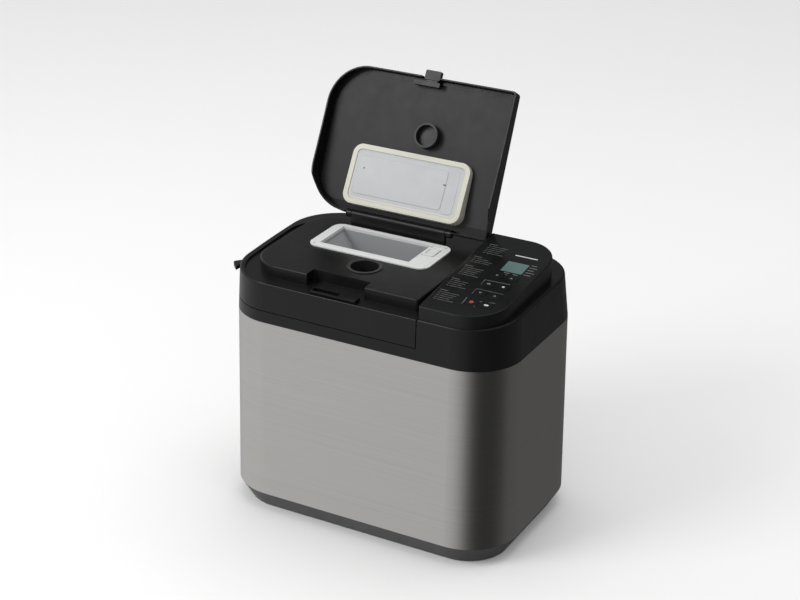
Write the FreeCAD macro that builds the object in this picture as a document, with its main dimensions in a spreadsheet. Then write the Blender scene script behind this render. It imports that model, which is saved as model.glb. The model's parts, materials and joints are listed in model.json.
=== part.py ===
import FreeCAD, Part
import math
import os
import re

import Sketcher

# Bread machine with an automatic raisin and yeast dispenser in its lid.
# Frame: origin on the table under the middle of the body, +X to the right along the long front,
# +Y to the back, +Z up. The outer (dispenser) lid stands open and the main lid is closed.

DIMENSIONS = {
    # body shell
    "body_w": 391.0, "body_d": 252.0, "body_r": 65.0,
    "plinth_top": 25.4, "plinth_taper": 30.5, "plinth_wall": 3.0, "recess": 3.0,
    "wrap_top": 269.3, "wrap_wall": 0.8, "wrap_flare": 3.4, "ring_top": 284.0, "wall": 2.6,
    "rear_face": 128.0,
    # upper mouldings draw in as they rise, and their rear corners grow rounder
    "draft": 2.6, "corner_growth": 0.2,
    # crowned rim: a wide arc seen from the side
    "rim_top": 330.2, "crown_y": 60.0, "crown_r": 2110.0,
    # sloped surfaces: height at the front edge of the body and slope in degrees
    "top_front": 338.2, "top_slope": 6.8,
    "deck_front": 337.8, "deck_slope": 0.2,
    # main lid and control housing meet at this X
    "split_x": 84.8, "split_gap": 1.2, "seam": 1.2,
    "panel_right": 184.0, "panel_front": 121.0, "panel_rear": 78.0, "panel_r": 52.0,
    "overlay_inset": 1.6, "overlay_t": 1.2,
    # raised deck of the main lid
    "deck_left": 167.0, "deck_right": 76.0, "deck_front_y": 103.0, "deck_rear_y": 80.0, "deck_r": 44.0,
    "channel": 2.4, "channel_left": 184.0, "channel_rear": 79.0,
    "notch_left": 80.0, "notch_right": 2.0, "notch_back": 85.5,
    # dispenser lid
    "disp_left": 178.0, "disp_right": 83.8, "disp_front": 122.0, "disp_rear": 68.0, "disp_r": 54.0,
    "disp_wall": 1.8, "skirt_gap": 1.0, "liner_t": 0.8, "open_angle": 120.0,
    "hinge_y": 68.0, "hinge_z": 352.5, "bar_r": 5.4, "rod_r": 2.0, "bar_left": -112.0, "bar_right": 25.0,
    # main lid hinge
    "lid_axis_y": 121.5, "lid_axis_z": 302.0, "lug_r": 4.4, "lid_pin_r": 2.5, "lug_w": 22.0,
    # baking chamber, pan and drive
    "oven_x": -55.0, "oven_w": 200.0, "oven_d": 176.0, "oven_r": 30.0, "oven_wall": 1.2,
    "oven_floor": 60.0, "element_z": 92.0,
    "pan_w": 156.0, "pan_d": 132.0, "pan_r": 30.0, "pan_wall": 1.5, "pan_floor": 80.0, "pan_top": 200.0,
    "foot_r": 32.0, "socket_r": 45.0, "twist": 10.0,
    "shaft_r": 5.0, "kneader_r": 4.0, "running": 0.05,
    "motor_x": 125.0, "motor_r": 40.0, "pulley_r": 40.0, "pinion_r": 9.0, "belt_t": 2.0, "belt_z": 22.0,
    "belt_w": 8.0, "belt_gap": 0.3,
    # dispensers in the main lid
    "tray_left": 128.5, "tray_right": 42.5, "tray_front": 23.5, "tray_rear": 57.0, "tray_r": 14.0,
    "tray_lip": 1.6, "hopper_left": 115.5, "hopper_right": 13.0, "hopper_front": 11.0,
    "hopper_rear": 50.0, "hopper_wall": 1.5, "hopper_bottom": 297.0,
    "yeast_x": -29.0, "yeast_y": -48.0, "yeast_r": 18.0, "yeast_ring": 22.6,
    "valve_z": 297.0, "valve_pin": 1.5, "lever_left": 16.0, "lever_y": 29.0,
    # keys and display
    "key_w": 16.0, "key_d": 13.0, "key_gap": 0.25, "key_proud": 0.4, "key_travel": 0.5,
    "key_left_x": 138.0, "key_pitch_x": 19.5,
    "lcd_x": 149.75, "lcd_y": 8.5, "lcd_w": 28.5, "lcd_d": 25.0,
}
KEY_ROWS = {"menu": -17.0, "option": -39.5, "timer": -62.5, "program": -86.0}
KEY_NAMES = {
    "menu": ("menu_key_down", "menu_key_up"),
    "option": ("size_key", "crust_key"),
    "timer": ("timer_key_down", "timer_key_up"),
    "program": ("stop_key", "start_key"),
}

V = FreeCAD.Vector
X_AXIS, Y_AXIS, Z_AXIS = V(1, 0, 0), V(0, 1, 0), V(0, 0, 1)
FLAT = FreeCAD.Rotation()
SIDE = FreeCAD.Rotation(V(1, 1, 1), 120)      # sketch x, y, normal along Y, Z, X
FRONT = FreeCAD.Rotation(X_AXIS, 90)          # sketch x, y, normal along X, Z, -Y

doc = FreeCAD.newDocument("BreadMachine")
sheet = doc.addObject("Spreadsheet::Sheet", "Dims")
for row, (alias, value) in enumerate(DIMENSIONS.items(), start=1):
    sheet.set(f"A{row}", alias)
    sheet.set(f"B{row}", str(value))
    sheet.setAlias(f"B{row}", alias)
doc.recompute()

pieces = []


# ---------------------------------------------------------------- helpers
def link(expression):
    """Point the bare names of an expression at the dimension sheet."""
    return re.sub(r"\b[a-z]\w*\b(?!\()", r"Dims.\g<0>", str(expression))


def size(expression):
    """The present value of an expression in the sheet's names."""
    return float(sheet.evalExpression(link(expression)))


def bind(obj, prop, expression):
    obj.setExpression(prop, link(expression))


def move(obj, x=0, y=0, z=0, rotation=FLAT):
    """Place an object, each coordinate tied to the sheet."""
    obj.Placement = FreeCAD.Placement(V(size(x), size(y), size(z)), rotation)
    for axis, expression in zip("xyz", (x, y, z)):
        if isinstance(expression, str):
            bind(obj, f".Placement.Base.{axis}", expression)
    return obj


def piece(obj, label):
    """Name an object as one of the machine's sub-parts."""
    obj.Label = label
    pieces.append(obj)
    return obj


def fixed(sketch, kind, args, expression):
    """Add a dimension to a sketch and tie it to the sheet."""
    index = sketch.addConstraint(Sketcher.Constraint(kind, *args, size(expression)))
    name = f"d{index}"
    sketch.renameConstraint(index, name)
    sketch.setExpression(f"Constraints.{name}", link(expression))


def draw_rectangle(sketch, left, right, low, high, radii="0"):
    """A rectangle with rounded corners, listed from low left, counter-clockwise."""
    if isinstance(radii, str):
        radii = (radii,) * 4
    x0, x1, y0, y1 = (size(e) for e in (left, right, low, high))
    rounds = [size(r) for r in radii]
    corners = [(x0, y0), (x1, y0), (x1, y1), (x0, y1)]
    inward = [(1, 1), (-1, 1), (-1, -1), (1, -1)]
    along = [(1, 0), (0, 1), (-1, 0), (0, -1)]
    sides, arcs = [], []
    for i in range(4):
        start, end = corners[i], corners[(i + 1) % 4]
        r0, r1 = rounds[i], rounds[(i + 1) % 4]
        ax, ay = along[i]
        a = V(start[0] + ax * r0, start[1] + ay * r0, 0)
        b = V(end[0] - ax * r1, end[1] - ay * r1, 0)
        sides.append(sketch.addGeometry(Part.LineSegment(a, b)))
    for i in range(4):
        r = rounds[i]
        if not r:
            arcs.append(None)
            continue
        cx, cy = corners[i][0] + inward[i][0] * r, corners[i][1] + inward[i][1] * r
        begin = math.pi + i * math.pi / 2
        circle = Part.Circle(V(cx, cy, 0), Z_AXIS, r)
        arcs.append(sketch.addGeometry(Part.ArcOfCircle(circle, begin, begin + math.pi / 2)))
    for i in range(4):
        before, after = sides[i - 1], sides[i]
        if arcs[i] is None:
            sketch.addConstraint(Sketcher.Constraint("Coincident", before, 2, after, 1))
        else:
            sketch.addConstraint(Sketcher.Constraint("Tangent", before, 2, arcs[i], 1))
            sketch.addConstraint(Sketcher.Constraint("Tangent", arcs[i], 2, after, 1))
            fixed(sketch, "Radius", (arcs[i],), radii[i])
    for i, kind in enumerate(("Horizontal", "Vertical", "Horizontal", "Vertical")):
        sketch.addConstraint(Sketcher.Constraint(kind, sides[i]))
    fixed(sketch, "DistanceY", (-1, 1, sides[0], 1), low)
    fixed(sketch, "DistanceX", (-1, 1, sides[1], 1), right)
    fixed(sketch, "DistanceY", (-1, 1, sides[2], 1), high)
    fixed(sketch, "DistanceX", (-1, 1, sides[3], 1), left)


def draw_polygon(sketch, points):
    """A closed polygon whose corners are expressions."""
    spots = [V(size(x), size(y), 0) for x, y in points]
    lines = []
    for i, spot in enumerate(spots):
        lines.append(sketch.addGeometry(Part.LineSegment(spot, spots[(i + 1) % len(spots)])))
    for i, (x, y) in enumerate(points):
        sketch.addConstraint(Sketcher.Constraint("Coincident", lines[i - 1], 2, lines[i], 1))
        fixed(sketch, "DistanceX", (-1, 1, lines[i], 1), x)
        fixed(sketch, "DistanceY", (-1, 1, lines[i], 1), y)


def draw_circle(sketch, x, y, radius):
    circle = Part.Circle(V(size(x), size(y), 0), Z_AXIS, size(radius))
    index = sketch.addGeometry(circle)
    fixed(sketch, "Radius", (index,), radius)
    fixed(sketch, "DistanceX", (-1, 1, index, 3), x)
    fixed(sketch, "DistanceY", (-1, 1, index, 3), y)


def free_sketch(rotation=FLAT, x=0, y=0, z=0):
    return move(doc.addObject("Sketcher::SketchObject", "Outline"), x, y, z, rotation)


def extrude(sketch, length, middle=False):
    """A solid swept from a sketch along its normal."""
    solid = doc.addObject("Part::Extrusion", "Prism")
    solid.Base = sketch
    solid.DirMode = "Normal"
    solid.Solid = True
    solid.Symmetric = middle
    bind(solid, "LengthFwd", length)
    return solid


def block(left, right, front, rear, bottom, top, radii="0"):
    """An upright prism with rounded corners between two heights."""
    sketch = free_sketch(z=bottom)
    draw_rectangle(sketch, left, right, front, rear, radii)
    return extrude(sketch, f"({top}) - ({bottom})")


def cylinder(x, y, bottom, top, radius, rotation=FLAT, angle=360):
    """A round bar from bottom to top; turned, its axis leaves the point x, y, bottom."""
    bar = doc.addObject("Part::Cylinder", "Bar")
    bind(bar, "Radius", radius)
    bind(bar, "Height", f"({top}) - ({bottom})")
    bar.Angle = angle
    return move(bar, x, y, bottom, rotation)


def rod_x(left, right, y, z, radius):
    """A round bar along X."""
    bar = doc.addObject("Part::Cylinder", "Bar")
    bind(bar, "Radius", radius)
    bind(bar, "Height", f"({right}) - ({left})")
    return move(bar, left, y, z, FreeCAD.Rotation(Y_AXIS, 90))


def join(*shapes):
    result = doc.addObject("Part::MultiFuse", "Joined")
    result.Shapes = list(shapes)
    result.Refine = True
    return result


def overlap(*shapes):
    result = doc.addObject("Part::MultiCommon", "Shared")
    result.Shapes = list(shapes)
    result.Refine = True
    return result


def cut(base, *tools):
    """Take the tools away from the base; every tool has to remove something."""
    tool = tools[0] if len(tools) == 1 else join(*tools)
    result = doc.addObject("Part::Cut", "Cut")
    result.Base = base
    result.Tool = tool
    result.Refine = True
    doc.recompute()
    if result.Shape.Volume > base.Shape.Volume - 1e-3:
        raise RuntimeError(f"a cut in {base.Label} removes nothing")
    return result


def group(*shapes):
    """Separate solids kept together as one sub-part."""
    result = doc.addObject("Part::Compound", "Group")
    result.Links = list(shapes)
    return result


def rounded(base, radius, chosen):
    """Round the edges for which chosen(edge) holds."""
    doc.recompute()
    result = doc.addObject("Part::Fillet", "Rounded")
    result.Base = base
    amount = size(radius)
    result.Edges = [(i, amount, amount) for i, edge in enumerate(base.Shape.Edges, 1) if chosen(edge)]
    return result


def height_at(surface, y):
    """Height of a sloped surface, the deck or the top, at a distance behind the middle."""
    return f"{surface}_front + tan({surface}_slope) * ({y} + body_d / 2)"


def side_slab(points):
    """A long bar along X with the given side view."""
    sketch = free_sketch(SIDE)
    draw_polygon(sketch, points)
    return extrude(sketch, "700", middle=True)


def offset_line(surface, offset, near="-250", far="250"):
    """The side view of a sloped surface as two points, moved up by an offset."""
    return [(y, f"{height_at(surface, y)} + ({offset})") for y in (near, far)]


def above(surface, offset="0"):
    """Everything over a surface that rises towards the back."""
    return side_slab(offset_line(surface, offset) + [("250", "600"), ("-250", "600")])


def below(surface, offset="0"):
    """Everything under a surface, down to the top of the steel wall."""
    return side_slab(offset_line(surface, offset) + [("250", "wrap_top"), ("-250", "wrap_top")])


def between(surface, lower, upper):
    """A sloped slab between two offsets from a surface."""
    return side_slab(offset_line(surface, lower) + offset_line(surface, upper)[::-1])


def wedge(low_surface, low_offset, high_surface, high_offset):
    """The space between two surfaces of different slope."""
    near, far = "-115", "70"
    return side_slab(offset_line(low_surface, low_offset, near, far)
                     + offset_line(high_surface, high_offset, near, far)[::-1])


def under_rim(offset="0"):
    """Everything under the crowned rim, as one bar of very large radius."""
    return rod_x("-300", "300", "crown_y", "rim_top - crown_r", f"crown_r + ({offset})")


def body_outline(bottom, top, inset="0"):
    """The rounded plan of the whole machine, pulled in by inset."""
    return block(f"-body_w / 2 + ({inset})", f"body_w / 2 - ({inset})",
                 f"-body_d / 2 + ({inset})", f"body_d / 2 - ({inset})",
                 bottom, top, f"body_r - ({inset})")


def drafted_outline(bottom, top, inset="0"):
    """The plan above the steel wall, which draws in as it rises."""
    sections = []
    for z in (bottom, top):
        rise = f"({z} - wrap_top)"
        drawn = f"({inset}) + {rise} * tan(draft)"
        front, rear = f"body_r - ({drawn})", f"body_r + {rise} * corner_growth - ({drawn})"
        sketch = free_sketch(z=z)
        draw_rectangle(sketch, f"-body_w / 2 + ({drawn})", f"body_w / 2 - ({drawn})",
                       f"-body_d / 2 + ({drawn})", f"body_d / 2 - ({drawn})", (front, front, rear, rear))
        sections.append(sketch)
    loft = doc.addObject("Part::Loft", "Drafted")
    loft.Sections = sections
    loft.Solid = True
    loft.Ruled = True
    return loft


def lid_outline(bottom, top, inset="0"):
    """The left part of the plan, which belongs to the main lid."""
    left_side = block("-300", f"split_x - split_gap - ({inset})", "-200", "200", bottom, top)
    return overlap(drafted_outline(bottom, top, inset), left_side)


def right_outline(bottom, top, inset="0"):
    """The right part of the plan, which belongs to the control housing."""
    right_side = block(f"split_x + ({inset})", "300", "-200", "200", bottom, top)
    return overlap(drafted_outline(bottom, top, inset), right_side)


def panel_outline(bottom, top, inset="0"):
    """The plan of the raised control panel."""
    return block(f"split_x + ({inset})", f"panel_right - ({inset})",
                 f"-panel_front + ({inset})", f"panel_rear - ({inset})",
                 bottom, top, ("3", f"panel_r - ({inset})", f"panel_r - 8 - ({inset})", "3"))


def deck_outline(bottom, top, inset="0"):
    """The plan of the main lid's raised deck."""
    return block(f"-deck_left + ({inset})", f"deck_right - ({inset})",
                 f"-deck_front_y + ({inset})", f"deck_rear_y - ({inset})",
                 bottom, top, (f"deck_r - ({inset})", "4", "4", f"deck_r - 6 - ({inset})"))


def channel_outline():
    """The plan of the step in the rim that the dispenser lid's skirt stands in."""
    return block("-channel_left", "split_x", "-disp_front - 0.8", "channel_rear",
                 "250", "420", ("disp_r + 4", "2", "2", "disp_r - 4"))


def dispenser_outline(inset="0"):
    """The plan of the dispenser lid when it is shut."""
    return block(f"-disp_left + ({inset})", f"disp_right - ({inset})",
                 f"-disp_front + ({inset})", f"disp_rear - ({inset})",
                 "250", "420", (f"disp_r - ({inset})", "4", "4", f"disp_r - ({inset})"))


def origin_plane(body, role):
    for feature in body.Origin.OriginFeatures:
        if feature.Role == role:
            return feature
    raise LookupError(role)


def body_sketch(body, role="XY_Plane", offset="0"):
    """A sketch on one of a body's origin planes, lifted along the plane's normal."""
    sketch = body.newObject("Sketcher::SketchObject", "Sketch")
    sketch.AttachmentSupport = [(origin_plane(body, role), "")]
    sketch.MapMode = "FlatFace"
    sketch.AttachmentOffset = FreeCAD.Placement(V(0, 0, size(offset)), FLAT)
    bind(sketch, ".AttachmentOffset.Base.z", offset)
    return sketch


def feature(body, kind, sketch, length=None, **settings):
    """A pad, pocket, revolution or groove whose effect is checked."""
    doc.recompute()
    before = body.Shape.Volume if not body.Shape.isNull() else 0.0
    made = body.newObject(f"PartDesign::{kind}", kind)
    made.Profile = sketch
    for name, value in settings.items():
        setattr(made, name, value)
    if length is not None:
        bind(made, "Length", length)
    doc.recompute()
    change = body.Shape.Volume - before
    taking = kind in ("Pocket", "Groove")
    if (taking and change > -1e-3) or (not taking and change < 1e-3):
        raise RuntimeError(f"{kind} in {body.Label} has no effect ({change:.3f})")
    return made


def new_body(label):
    body = doc.addObject("PartDesign::Body", label)
    return piece(body, label)


def turned(label, profile, x=0, y=0, z=0, rotation=FLAT):
    """A body turned about the Z axis from a profile of radius, height pairs."""
    body = new_body(label)
    sketch = body_sketch(body, "XZ_Plane")
    draw_polygon(sketch, profile)
    feature(body, "Revolution", sketch, ReferenceAxis=(origin_plane(body, "Z_Axis"), [""]))
    move(body, x, y, z, rotation)
    return body


# ---------------------------------------------------------------- base and outer shell
def draw_foot(sketch, outset):
    """The body's plan, pushed out by outset."""
    draw_rectangle(sketch, f"-body_w / 2 - ({outset})", f"body_w / 2 + ({outset})",
                   f"-body_d / 2 - ({outset})", f"body_d / 2 + ({outset})", f"body_r + ({outset})")


def make_plinth():
    """Tapered base moulding, hollow above and recessed below, standing on its rim."""
    body = new_body("plinth")
    taper = size("plinth_taper")
    outer = body_sketch(body, offset="plinth_top")
    draw_foot(outer, "wrap_flare")
    pad = feature(body, "Pad", outer, "plinth_top", Reversed=True, TaperAngle=-taper)
    bind(pad, "TaperAngle", "-plinth_taper")
    inner = body_sketch(body, offset="plinth_top")
    draw_foot(inner, "wrap_flare - plinth_wall")
    hollow = feature(body, "Pocket", inner, "plinth_top - recess - plinth_wall", TaperAngle=-taper)
    bind(hollow, "TaperAngle", "-plinth_taper")
    under = body_sketch(body)
    draw_rectangle(under, "-172", "172", "-102", "102", "42")
    feature(body, "Pocket", under, "recess", Reversed=True)
    holes = body_sketch(body, offset="recess")
    for x, y in BASE_SCREWS:
        draw_circle(holes, x, y, "2 + running")
    for i in range(6):
        draw_rectangle(holes, f"{95 + 9 * i}", f"{99 + 9 * i}", "-60", "60", "1.9")
    feature(body, "Pocket", holes, "plinth_wall", Reversed=True)


BASE_SCREWS = [(x, y) for x in (-120, 60) for y in (-88, 88)]
FEET = [(x, y) for x in (-145, 145) for y in (-72, 72)]


def make_feet():
    feet = [cylinder(x, y, "0", "recess", "11") for x, y in FEET]
    piece(group(*feet), "rubber_feet")


def make_chassis():
    """Steel base plate with screw bosses and four posts that carry the baking chamber."""
    floor_z = "recess + plinth_wall"
    plate = block("-166", "166", "-97", "97", floor_z, f"{floor_z} + 1.5", "40")
    solids = [plate]
    for x, y in BASE_SCREWS:
        solids.append(cylinder(x, y, floor_z, f"{floor_z} + 9", "4.5"))
    for sx in (-1, 1):
        for sy in (-1, 1):
            x, y = f"oven_x + {sx} * 80", f"{sy} * 66"
            solids.append(block(f"{x} - 6", f"{x} + 6", f"{y} - 6", f"{y} + 6", floor_z, "oven_floor", "1"))
    bores = [cylinder(x, y, f"{floor_z} - 1", f"{floor_z} + 12", "2 + running") for x, y in BASE_SCREWS]
    piece(cut(join(*solids), *bores), "chassis_plate")


def make_base_screws():
    screws = []
    for x, y in BASE_SCREWS:
        head = cylinder(x, y, "recess - 1.8", "recess", "4")
        shank = cylinder(x, y, "recess - 0.5", "recess + 11", "2")
        screws.append(join(head, shank))
    piece(group(*screws), "base_screws")


GRILLE = {"left": -62, "right": 62, "low": 52, "high": 112}


def flared_outline(inset, extra):
    """The plan of the steel wall, which widens towards its foot; extra lengthens both ends."""
    loft = doc.addObject("Part::Loft", "Flared")
    lean = "wrap_flare / (wrap_top - plinth_top)"
    sections = []
    for z, outset in (("plinth_top - " + extra, f"wrap_flare + {extra} * {lean}"),
                      ("wrap_top + " + extra, f"-{extra} * {lean}")):
        sketch = free_sketch(z=z)
        draw_foot(sketch, f"{outset} - {inset}")
        sections.append(sketch)
    loft.Sections = sections
    loft.Solid = True
    loft.Ruled = True
    return loft


def make_wrap():
    """Brushed steel wall round the body, open at the back for the grille."""
    wall = cut(flared_outline("0", "0"), flared_outline("wrap_wall", "1"))
    window = block(GRILLE["left"], GRILLE["right"], "body_d / 2 - 10", "body_d / 2 + 10",
                   GRILLE["low"], GRILLE["high"])
    piece(cut(wall, window), "steel_wrap")


def make_rear_grille():
    """Louvred plastic cover at the back with the hole for the mains inlet."""
    low, high = GRILLE["low"], GRILLE["high"]
    plate = block(GRILLE["left"], GRILLE["right"], "rear_face - 2.4", "rear_face", low, high)
    flange = block(GRILLE["left"] - 6, GRILLE["right"] + 6, "rear_face - 3.4", "rear_face - 1",
                   low - 6, high + 6)
    slots = []
    for i in range(7):
        z = low + 8 + 7 * i
        slots.append(block(-54, 22, "rear_face - 6", "rear_face + 2", z, z + 3.2))
    bore = move(cylinder(0, 0, 0, 12, 8), 42, "rear_face + 4", 74, FreeCAD.Rotation(X_AXIS, 90))
    piece(cut(join(plate, flange), *slots, bore), "rear_grille")


def make_cord_inlet():
    """Round gland in the rear grille, with the bore that takes the mains lead."""
    profile = [("3.5", "0"), ("11", "0"), ("11", "2"), ("8", "2"), ("8", "6"), ("10", "6"), ("10", "8"),
               ("3.5", "8")]
    turned("cord_inlet", profile, 42, "rear_face + 2", 74, FreeCAD.Rotation(X_AXIS, 90))


def panel_box(x, y, width, depth, low, high, radii="1"):
    """A rounded block set square on the sloped panel, heights measured from its surface."""
    tilt = FreeCAD.Rotation(X_AXIS, size("top_slope"))
    sketch = doc.addObject("Sketcher::SketchObject", "Outline")
    half_w, half_d = f"({width}) / 2", f"({depth}) / 2"
    draw_rectangle(sketch, f"-{half_w}", half_w, f"-{half_d}", half_d, radii)
    move(sketch, f"{x}", f"{y} - ({low}) * sin(top_slope)",
         f"{height_at('top', y)} + ({low}) * cos(top_slope)", tilt)
    return extrude(sketch, f"({high}) - ({low})")


def key_places():
    for group_name, y in KEY_ROWS.items():
        for column, name in enumerate(KEY_NAMES[group_name]):
            yield name, f"key_left_x + {column} * key_pitch_x", f"{y}"


BOARD_DEPTH = "12"
BOARD_SCREWS = [("97", "-96"), ("97", "52"), ("172", "-58"), ("165", "48")]


def key_windows(low, high):
    slack = "2 * key_gap"
    return [panel_box(x, y, f"key_w + {slack}", f"key_d + {slack}", low, high, "2 + key_gap")
            for _, x, y in key_places()]


def display_window(low, high):
    return panel_box("lcd_x", "lcd_y", "lcd_w", "lcd_d", low, high, "1")


def make_top_housing():
    """Upper moulding: collar over the steel wall, and the raised control block on the right."""
    collar = join(drafted_outline("wrap_top", "ring_top"),
                  cut(body_outline("wrap_top - 8", "wrap_top", "wrap_wall + 0.2"),
                      body_outline("wrap_top - 9", "wrap_top + 1", "wrap_wall + 2.4")))
    collar = cut(collar, body_outline("wrap_top - 10", "ring_top - wall", "wall + 0.4"))
    low_part = rounded(overlap(right_outline("ring_top - 1", "400"), under_rim()), "3", on_rim)
    high_part = overlap(panel_outline("ring_top - 1", "400"), below("top"))
    high_part = rounded(high_part, "1.4", lambda e: on_surface(e, "top"))
    low_hollow = overlap(right_outline("ring_top - 2", "400", "wall"), under_rim("-wall"))
    high_hollow = overlap(panel_outline("ring_top - 2", "400", "wall"), below("top", "-overlay_t - wall"))
    shell = cut(join(collar, low_part, high_part), join(low_hollow, high_hollow))
    lift = "6"
    screen = overlap(panel_outline("300", "400", "overlay_inset"), between("top", "-overlay_t", lift))
    opening = block("oven_x - oven_w / 2 + oven_wall", "oven_x + oven_w / 2 - oven_wall",
                    "-oven_d / 2 + oven_wall", "oven_d / 2 - oven_wall",
                    "wrap_top - 1", "ring_top + 1", "oven_r - oven_wall")
    posts = [panel_box(x, y, "7", "7", f"-{BOARD_DEPTH}", "-overlay_t - 1", "3.4")
             for x, y in BOARD_SCREWS]
    pilot = [panel_box(x, y, "2.6", "2.6", f"-{BOARD_DEPTH} - 1", f"-{BOARD_DEPTH} + 8", "1.29")
             for x, y in BOARD_SCREWS]
    lugs = []
    for x in LID_HINGES:
        left, right = f"{x} - lug_w / 2", f"{x} + lug_w / 2"
        lugs.append(block(left, right, "lid_axis_y - lug_r", "lid_axis_y + lug_r",
                          "ring_top - 2", "lid_axis_z"))
        lugs.append(rod_x(left, right, "lid_axis_y", "lid_axis_z", "lug_r"))
    bores = [rod_x(f"{x} - lug_w", f"{x} + lug_w", "lid_axis_y", "lid_axis_z", "lid_pin_r")
             for x in LID_HINGES]
    shell = cut(join(cut(shell, screen, opening), *posts, *lugs), *pilot, *bores,
                *key_windows("-8", "4"), display_window("-8", "4"))
    piece(shell, "top_housing")


LID_HINGES = (-108, 28)


def three_points(edge):
    first, last = edge.ParameterRange
    return [edge.valueAt(parameter) for parameter in (first, (first + last) / 2, last)]


def on_surface(edge, surface):
    """True for an edge whose ends and middle all lie on a sloped surface."""
    front, tangent = size(f"{surface}_front"), math.tan(math.radians(size(f"{surface}_slope")))
    half = size("body_d") / 2
    return all(abs(p.z - front - tangent * (p.y + half)) < 1e-3 for p in three_points(edge))


def on_rim(edge):
    """True for an edge that lies on the crowned rim, save the one along the split."""
    axis_y, axis_z, radius = size("crown_y"), size("rim_top - crown_r"), size("crown_r")
    return all(abs(math.hypot(p.y - axis_y, p.z - axis_z) - radius) < 1e-3 for p in three_points(edge))


# ---------------------------------------------------------------- control panel
def make_control_panel():
    """Thin glossy overlay with openings for the keys and the display."""
    sheet_part = overlap(panel_outline("300", "400", "overlay_inset + 0.1"),
                         between("top", "-overlay_t", "0"))
    piece(cut(sheet_part, *key_windows("-4", "4"), display_window("-4", "4")), "control_panel")
    piece(panel_box("lcd_x", "lcd_y", "lcd_w - 0.2", "lcd_d - 0.2", "-1.2", "0", "0.9"), "display_lens")
    piece(panel_box("lcd_x", "lcd_y", "lcd_w + 8", "lcd_d + 8", "-9.5", "-4.2", "1"), "display_module")


def make_control_board():
    """Circuit board under the panel with one switch below each key, and its screws."""
    board = panel_box("134", "-22", "92", "166", f"-{BOARD_DEPTH} - 1.6", f"-{BOARD_DEPTH}", "3")
    clip = overlap(board, panel_outline("290", "400", "7"))
    switches = [panel_box(x, y, "6", "6", f"-{BOARD_DEPTH} - 0.2", f"-{BOARD_DEPTH} + 4", "0.5")
                for _, x, y in key_places()]
    chip = panel_box("110", "-20", "14", "14", f"-{BOARD_DEPTH} - 0.2", f"-{BOARD_DEPTH} + 2", "0.5")
    plug = panel_box("104", "20", "8", "22", f"-{BOARD_DEPTH} - 0.2", f"-{BOARD_DEPTH} + 5", "0.5")
    holes = [panel_box(x, y, "3.4", "3.4", f"-{BOARD_DEPTH} - 3", f"-{BOARD_DEPTH} + 1", "1.69")
             for x, y in BOARD_SCREWS]
    piece(cut(join(clip, *switches, chip, plug), *holes), "control_board")
    screws = []
    for x, y in BOARD_SCREWS:
        head = panel_box(x, y, "5.6", "5.6", f"-{BOARD_DEPTH} - 3.4", f"-{BOARD_DEPTH} - 1.6", "2.79")
        shank = panel_box(x, y, "2.5", "2.5", f"-{BOARD_DEPTH} - 2", f"-{BOARD_DEPTH} + 6", "1.24")
        screws.append(join(head, shank))
    piece(group(*screws), "board_screws")


def make_keys():
    """Eight separate key caps, each with a stem down to its switch."""
    stroke = "key_travel + 0.1"
    for name, x, y in key_places():
        cap = panel_box(x, y, "key_w", "key_d", "-2.4", "key_proud", "2")
        stem = panel_box(x, y, "5", "5", f"-{BOARD_DEPTH} + 4 + {stroke}", "-2", "1")
        piece(join(cap, stem), name)


# ---------------------------------------------------------------- electrical parts
def make_power_board():
    """Upright power board with its relay, transformer and capacitor, on a foot plate."""
    base = "recess + plinth_wall + 1.5"
    solids = [
        block("74", "168", "-94", "-92.4", "30", "200"),
        block("74", "160", "-94", "-80", base, f"{base} + 1.6"),
        block("78", "84", "-94", "-88", base, "40"),
        block("150", "156", "-94", "-88", base, "40"),
        block("84", "112", "-92.5", "-70", "150", "180"),
        block("120", "140", "-92.5", "-76", "156", "176"),
    ]
    capacitor = cylinder(146, -84, 130, 160, 8)
    solids.append(join(capacitor, block("142", "150", "-93", "-84", "140", "150")))
    piece(join(*solids), "power_board")


def make_motor():
    """Induction motor can on a four-legged bracket, turning a small pulley below."""
    turned("drive_motor", [
        ("4.2", "71"), ("motor_r", "71"), ("motor_r", "120"), ("4.2", "120"), ("4.2", "114"),
        ("26", "114"), ("26", "77"), ("4.2", "77")], x="motor_x")
    base = "recess + plinth_wall + 1.5"
    plate = block("motor_x - 42", "motor_x + 42", "-42", "42", "68", "71", "6")
    legs = []
    for sx in (-1, 1):
        for sy in (-1, 1):
            if sx > 0:
                x = f"motor_x + 34"
            else:
                x = f"motor_x - 36"
            y = f"{sy} * 36"
            legs.append(block(f"{x} - 4", f"{x} + 4", f"{y} - 4", f"{y} + 4", base, "69", "1"))
    piece(cut(join(plate, *legs), cylinder("motor_x", 0, "60", "75", "12")), "motor_bracket")
    rotor = join(cylinder("motor_x", 0, "18", "118", "4"), cylinder("motor_x", 0, "82", "109", "25"))
    piece(rotor, "motor_rotor")
    body_of_pulley("motor_pulley", "pinion_r", "4", "motor_x")


def body_of_pulley(label, radius, bore, x):
    """A flanged pulley: the belt runs between its two rims."""
    low, high = "belt_z", "belt_z + belt_w"
    return turned(label, [
        (bore, f"{low} - 2.5"), (f"{radius} + 2.2", f"{low} - 2.5"), (f"{radius} + 2.2", f"{low} - 0.5"),
        (radius, f"{low} - 0.5"), (radius, f"{high} + 0.5"), (f"{radius} + 2.2", f"{high} + 0.5"),
        (f"{radius} + 2.2", f"{high} + 2.5"), (bore, f"{high} + 2.5")], x=x)


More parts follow.
